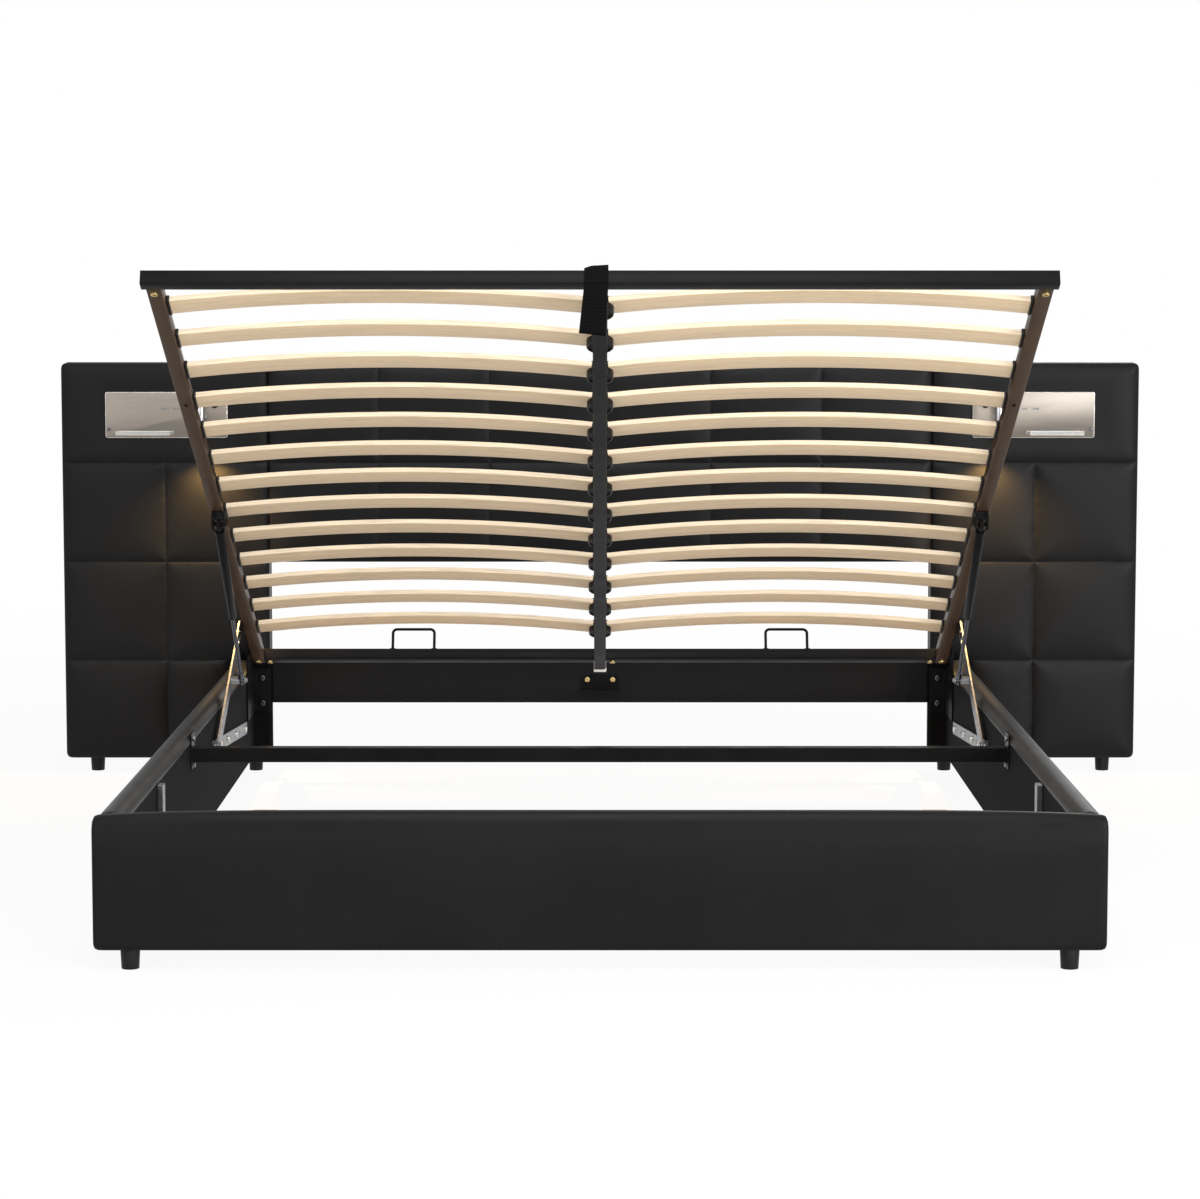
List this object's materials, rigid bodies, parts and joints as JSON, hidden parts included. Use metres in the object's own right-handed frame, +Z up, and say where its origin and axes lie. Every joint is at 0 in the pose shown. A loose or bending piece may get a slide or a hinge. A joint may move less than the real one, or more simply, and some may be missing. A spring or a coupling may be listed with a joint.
{
  "type": "upholstered storage bed",
  "caption": "Padded storage bed with an extra-wide headboard, shelf plates, reading lamps and a slatted platform that lifts on gas struts.",
  "frame": {"origin": "on the floor under the middle of the bed's bounding box", "axes": "+X across the bed, +Y from the footboard to the headboard, +Z up"},
  "size_m": [2.364, 2.196, 1.1225],
  "materials": {
    "black_leather": "soft sheen",
    "dark_board": "matt",
    "black_steel": "satin",
    "zinc_steel": "bright",
    "birch": "satin",
    "raw_wood": "matt",
    "foot_plastic": "matt",
    "slat_plastic": "satin",
    "brass": "bright",
    "brushed_plate": "brushed",
    "chrome": "polished",
    "clear_acrylic": "clear",
    "lamp_diffuser": "glowing",
    "webbing": "woven"
  },
  "bodies": {
    "base": {"headboard_wing_board_left": "dark_board", "headboard_wing_board_right": "dark_board", "headboard_centre_board": "dark_board", "headboard_wing_padding_left": "black_leather", "headboard_wing_padding_right": "black_leather", "headboard_centre_padding": "black_leather", "headboard_joining_plates": "black_steel", "headboard_plate_screws": "zinc_steel", "headboard_feet": "foot_plastic", "footboard_feet": "foot_plastic", "head_rail": "dark_board", "head_rail_bracket": "black_steel", "head_rail_screws": "brass", "side_rail_board_left": "dark_board", "side_rail_board_right": "dark_board", "side_rail_padding_left": "black_leather", "side_rail_padding_right": "black_leather", "footboard_board": "dark_board", "footboard_padding": "black_leather", "rail_battens": "raw_wood", "platform_rest_blocks": "raw_wood", "cross_bar": "black_steel", "cross_bar_bolts": "zinc_steel", "shelf_plate_left": "brushed_plate", "shelf_plate_right": "brushed_plate", "usb_ports": "foot_plastic", "switch_bezels": "chrome", "phone_shelves": "clear_acrylic", "lamp_bodies": "chrome", "lamp_lenses": "lamp_diffuser", "hinge_bracket_left": "black_steel", "hinge_bracket_right": "black_steel", "hinge_bracket_bolts": "brass", "base_strip_left": "zinc_steel", "base_strip_right": "zinc_steel"},
    "platform": {"lift_side_tube_left": "black_steel", "lift_side_tube_right": "black_steel", "lift_head_tube": "black_steel", "lift_foot_tube": "black_steel", "lift_centre_beam": "black_steel", "slats_left": "birch", "slats_right": "birch", "slat_caps": "slat_plastic", "slat_holders": "slat_plastic", "mattress_stops": "black_steel", "pull_strap": "webbing", "frame_bolts": "brass", "lift_hinge_plate_left": "black_steel", "lift_hinge_plate_right": "black_steel", "strut_bracket_left": "black_steel", "strut_bracket_right": "black_steel"},
    "arm_left": {"support_arm_left": "zinc_steel"},
    "rod_left": {"strut_rod_left": "zinc_steel"},
    "tube_left": {"strut_tube_left": "black_steel"},
    "button_left": {"switch_button_left": "foot_plastic"},
    "arm_right": {"support_arm_right": "zinc_steel"},
    "rod_right": {"strut_rod_right": "zinc_steel"},
    "tube_right": {"strut_tube_right": "black_steel"},
    "button_right": {"switch_button_right": "foot_plastic"}
  },
  "joints": [
    {"name": "lift", "type": "hinge", "parent": "base", "child": "platform", "pos_m": [0, 0.938, 0.282], "axis": [-1, 0, 0], "range_deg": [-25.78, 0], "stiffness_Nm_per_rad": 150, "springref_deg": 97.4},
    {"name": "arm_swing_left", "type": "hinge", "parent": "base", "child": "arm_left", "pos_m": [-0.76, 0.2566, 0.1685], "axis": [-1, 0, 0], "range_deg": [0, 14.1]},
    {"name": "rod_swing_left", "type": "hinge", "parent": "arm_left", "child": "rod_left", "pos_m": [-0.736, 0.49057, 0.27288], "axis": [-1, 0, 0], "range_deg": [-54.4, 0]},
    {"name": "tube_swing_left", "type": "hinge", "parent": "platform", "child": "tube_left", "pos_m": [-0.736, 0.09434, 0.62507], "axis": [-1, 0, 0], "range_deg": [-14.6, 0]},
    {"name": "switch_press_left", "type": "slide", "parent": "base", "child": "button_left", "axis": [0, 1, 0], "range_m": [0, 0.0018], "stiffness_N_per_m": 300},
    {"name": "arm_swing_right", "type": "hinge", "parent": "base", "child": "arm_right", "pos_m": [0.76, 0.2566, 0.1685], "axis": [-1, 0, 0], "range_deg": [0, 14.1]},
    {"name": "rod_swing_right", "type": "hinge", "parent": "arm_right", "child": "rod_right", "pos_m": [0.736, 0.49057, 0.27288], "axis": [-1, 0, 0], "range_deg": [-54.4, 0]},
    {"name": "tube_swing_right", "type": "hinge", "parent": "platform", "child": "tube_right", "pos_m": [0.736, 0.09434, 0.62507], "axis": [-1, 0, 0], "range_deg": [-14.6, 0]},
    {"name": "switch_press_right", "type": "slide", "parent": "base", "child": "button_right", "axis": [0, 1, 0], "range_m": [0, 0.0018], "stiffness_N_per_m": 300}
  ],
  "couplings": [
    {"joint": "arm_swing_left", "follows": "lift", "ratio": -0.54051},
    {"joint": "rod_swing_left", "follows": "lift", "ratio": 2.0978},
    {"joint": "tube_swing_left", "follows": "lift", "ratio": 0.5573},
    {"joint": "arm_swing_right", "follows": "lift", "ratio": -0.54051},
    {"joint": "rod_swing_right", "follows": "lift", "ratio": 2.0978},
    {"joint": "tube_swing_right", "follows": "lift", "ratio": 0.5573}
  ]
}
